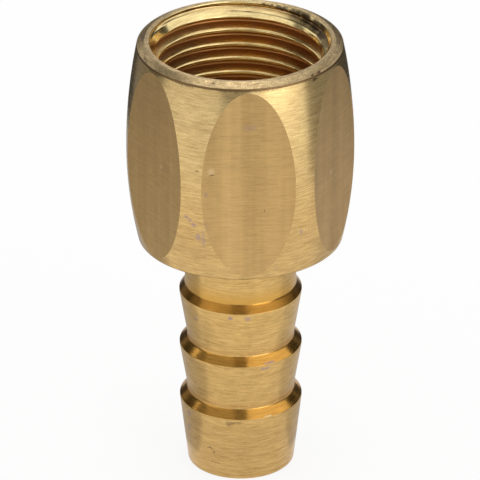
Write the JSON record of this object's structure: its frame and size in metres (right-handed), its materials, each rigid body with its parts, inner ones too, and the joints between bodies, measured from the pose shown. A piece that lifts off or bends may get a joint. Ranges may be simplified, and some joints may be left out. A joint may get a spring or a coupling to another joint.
{
  "type": "hose barb tail",
  "caption": "Brass hose tail: barbed stem for a rubber hose, crowned barrel with milled spanner flats and a mouth with an internal pipe thread.",
  "frame": {"origin": "centre of the barbed tail's end face, which is the lowest face", "axes": "+Z along the fitting's axis from the tail's end up through the tapped mouth; one spanner flat faces -Y"},
  "size_m": [0.0264, 0.024, 0.0542],
  "materials": {
    "brass": "turned, with dull milled flats"
  },
  "bodies": {
    "root": {"hose_tail": "brass"}
  },
  "joints": []
}
